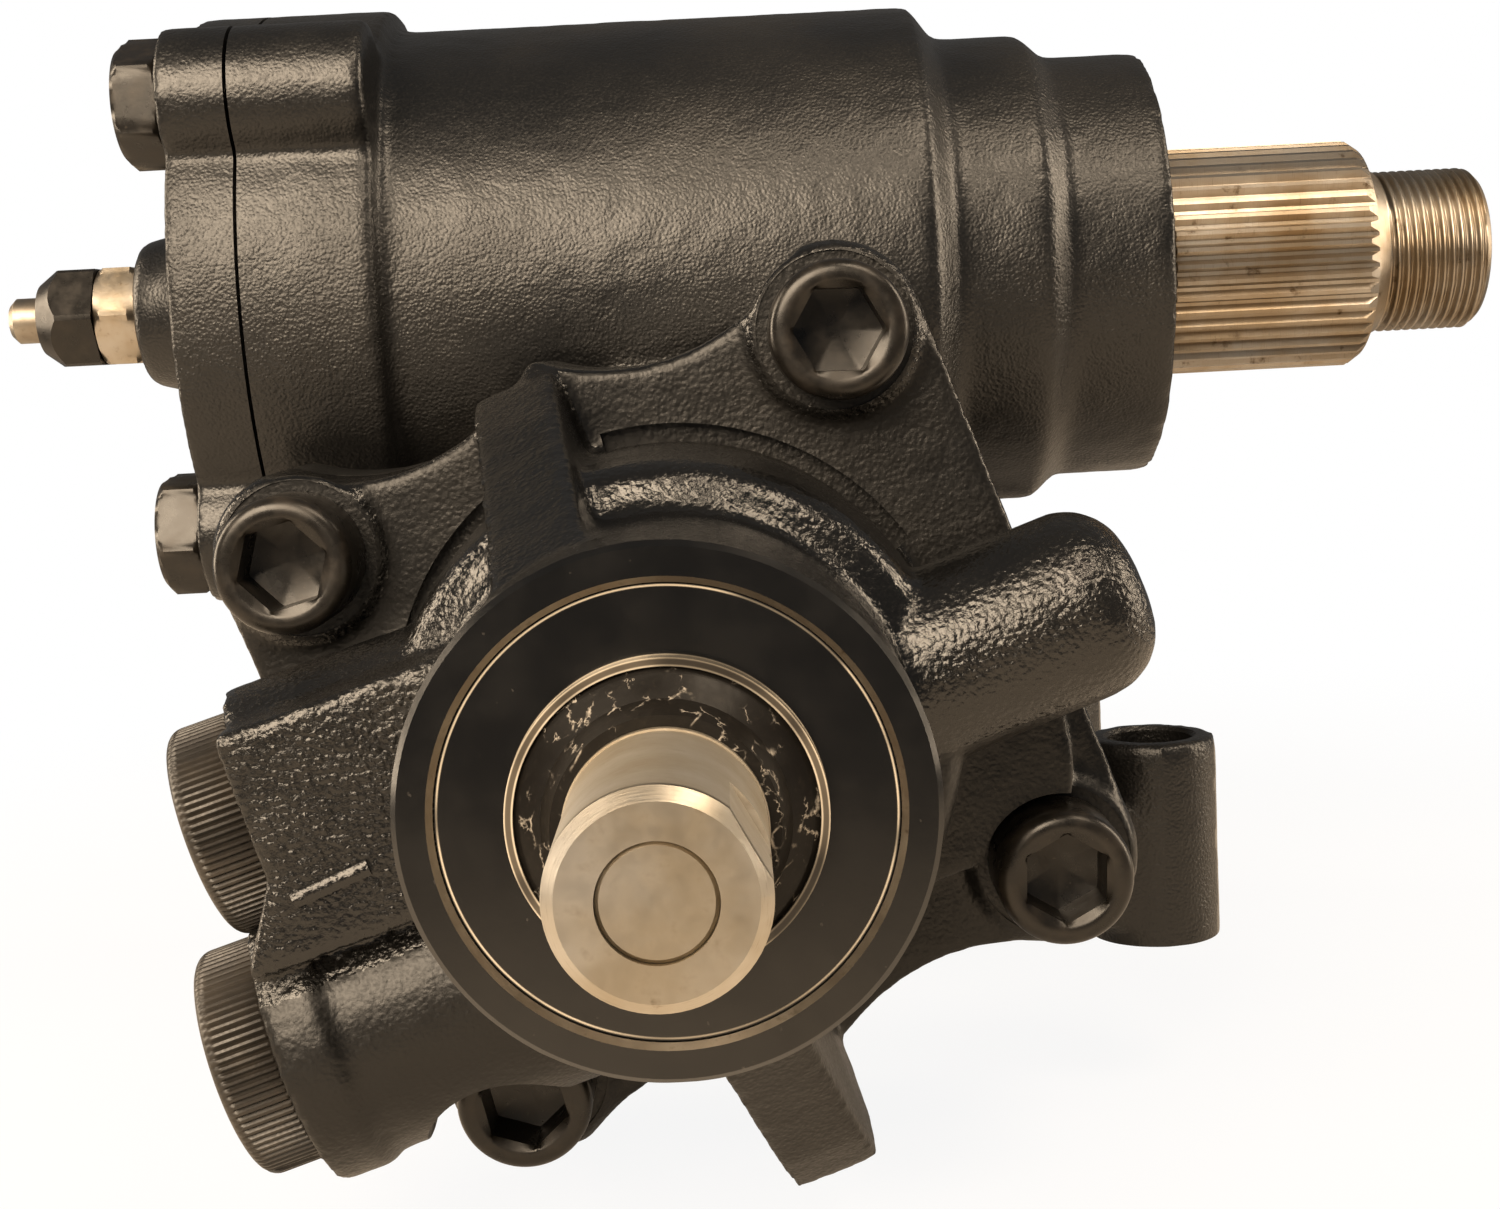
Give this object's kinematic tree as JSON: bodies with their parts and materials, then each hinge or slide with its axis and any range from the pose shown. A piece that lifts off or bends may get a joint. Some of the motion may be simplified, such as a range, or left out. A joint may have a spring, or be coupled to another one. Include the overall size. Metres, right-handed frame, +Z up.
{
  "type": "steering gearbox",
  "caption": "Black cast power steering gearbox with a splined sector shaft, clocked valve housing, capped ports and chassis ears.",
  "frame": {"origin": "centre of the four chassis bolts, on the mounting face under the ears", "axes": "+X along the sector shaft towards its spline, +Y along the worm away from the input shaft, +Z up from the mounting face"},
  "size_m": [0.247, 0.26, 0.1677],
  "materials": {
    "black_enamel": "gloss black enamel over rough casting",
    "bare_steel": "machined, oily",
    "black_oxide": "black oxide",
    "seal_rubber": "matt",
    "cap_plastic": "knurled",
    "brass": "turned"
  },
  "bodies": {
    "housing": {"gear_housing": "black_enamel", "valve_housing": "black_enamel", "side_cover": "black_enamel", "side_cover_bolts": "black_oxide", "side_cover_seal": "seal_rubber", "adjusting_screw": "bare_steel", "adjuster_lock_nut": "bare_steel", "adjuster_cap_nut": "black_oxide", "flange_bolts": "black_oxide", "flange_seal": "seal_rubber", "front_bearing_plug": "black_enamel", "input_bearing": "bare_steel", "input_oil_seal": "seal_rubber", "input_dust_seal": "seal_rubber", "worm_bearing_outer": "bare_steel", "worm_bearing_balls": "bare_steel", "port_cap_upper": "cap_plastic", "port_cap_lower": "cap_plastic", "port_seats": "brass", "sector_bearing": "bare_steel", "cover_bearing": "bare_steel", "sector_oil_seal": "seal_rubber", "sector_seal_ring": "black_oxide", "sector_dust_seal": "seal_rubber", "rear_plug": "black_enamel", "rear_plug_seal": "seal_rubber", "rear_plug_ring": "black_oxide"},
    "rack_nut": {"rack_piston": "bare_steel", "piston_seal": "seal_rubber", "piston_end_plug": "black_oxide", "circulating_balls": "bare_steel", "ball_return_tube": "bare_steel", "return_tube_clamp": "black_oxide", "clamp_screws": "black_oxide"},
    "worm": {"worm_shaft": "bare_steel", "worm_bearing_inner": "bare_steel", "valve_sleeve": "bare_steel", "sleeve_seal_rings": "seal_rubber"},
    "input": {"input_shaft": "bare_steel", "torsion_bar": "bare_steel", "torsion_bar_pin": "black_oxide"},
    "sector": {"sector_shaft": "bare_steel", "adjuster_retainer": "black_oxide"}
  },
  "joints": [
    {"name": "nut_slide", "type": "slide", "parent": "housing", "child": "rack_nut", "axis": [0, 1, 0], "range_m": [-0.02, 0.02]},
    {"name": "worm_spin", "type": "hinge", "parent": "housing", "child": "worm", "pos_m": [-0.006, -0.01, 0.0455], "axis": [0, 1, 0], "range_deg": [-627, 627]},
    {"name": "sector_swing", "type": "hinge", "parent": "housing", "child": "sector", "pos_m": [-0.006, -0.01, 0.104], "axis": [1, 0, 0], "range_deg": [-38.4, 38.4]},
    {"name": "input_twist", "type": "hinge", "parent": "worm", "child": "input", "pos_m": [-0.006, -0.01, 0.0455], "axis": [0, 1, 0], "range_deg": [-5, 5], "stiffness_Nm_per_rad": 60}
  ],
  "couplings": [
    {"joint": "worm_spin", "follows": "nut_slide", "rad_per_m": -546.36},
    {"joint": "sector_swing", "follows": "nut_slide", "rad_per_m": 33.333}
  ]
}
